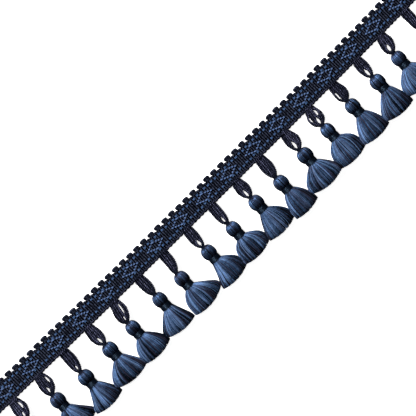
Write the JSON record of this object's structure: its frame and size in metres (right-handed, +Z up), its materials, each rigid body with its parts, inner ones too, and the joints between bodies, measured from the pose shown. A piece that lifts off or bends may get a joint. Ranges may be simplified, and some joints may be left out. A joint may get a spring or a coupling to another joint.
{
  "type": "tassel fringe trim",
  "caption": "Woven gimp heading with a picot edge and a row of small yarn tassels hung on cord loops, lying face up.",
  "frame": {"origin": "middle of the heading's flat back, on the surface that the trim lies on", "axes": "+X along the heading, +Y across it towards the picot edge, with the tassels towards -Y, +Z up out of the trim's face"},
  "size_m": [0.3684, 0.0575, 0.0085],
  "materials": {
    "heading_gimp": "dark navy gimp cord woven in ribs, with mid blue floats that chart small diamonds between two rows of dashes",
    "loop_cord": "twisted two-ply cord, dark navy with a dull violet glint",
    "tassel_yarn": "fine satin yarn in mixed navy, mid blue and a little mauve",
    "binding_thread": "glossy near-black navy thread wound close round the neck"
  },
  "bodies": {
    "root": {"heading": "heading_gimp", "loop_01": "loop_cord", "hank_01": "tassel_yarn", "binding_01": "binding_thread", "loop_02": "loop_cord", "hank_02": "tassel_yarn", "binding_02": "binding_thread", "loop_03": "loop_cord", "hank_03": "tassel_yarn", "binding_03": "binding_thread", "loop_04": "loop_cord", "hank_04": "tassel_yarn", "binding_04": "binding_thread", "loop_05": "loop_cord", "hank_05": "tassel_yarn", "binding_05": "binding_thread", "loop_06": "loop_cord", "hank_06": "tassel_yarn", "binding_06": "binding_thread", "loop_07": "loop_cord", "hank_07": "tassel_yarn", "binding_07": "binding_thread", "loop_08": "loop_cord", "hank_08": "tassel_yarn", "binding_08": "binding_thread", "loop_09": "loop_cord", "hank_09": "tassel_yarn", "binding_09": "binding_thread", "loop_10": "loop_cord", "hank_10": "tassel_yarn", "binding_10": "binding_thread", "loop_11": "loop_cord", "hank_11": "tassel_yarn", "binding_11": "binding_thread", "loop_12": "loop_cord", "hank_12": "tassel_yarn", "binding_12": "binding_thread", "loop_13": "loop_cord", "hank_13": "tassel_yarn", "binding_13": "binding_thread", "loop_14": "loop_cord", "hank_14": "tassel_yarn", "binding_14": "binding_thread", "loop_15": "loop_cord", "hank_15": "tassel_yarn", "binding_15": "binding_thread", "loop_16": "loop_cord", "hank_16": "tassel_yarn", "binding_16": "binding_thread", "loop_17": "loop_cord", "hank_17": "tassel_yarn", "binding_17": "binding_thread", "loop_18": "loop_cord", "hank_18": "tassel_yarn", "binding_18": "binding_thread"}
  },
  "joints": []
}
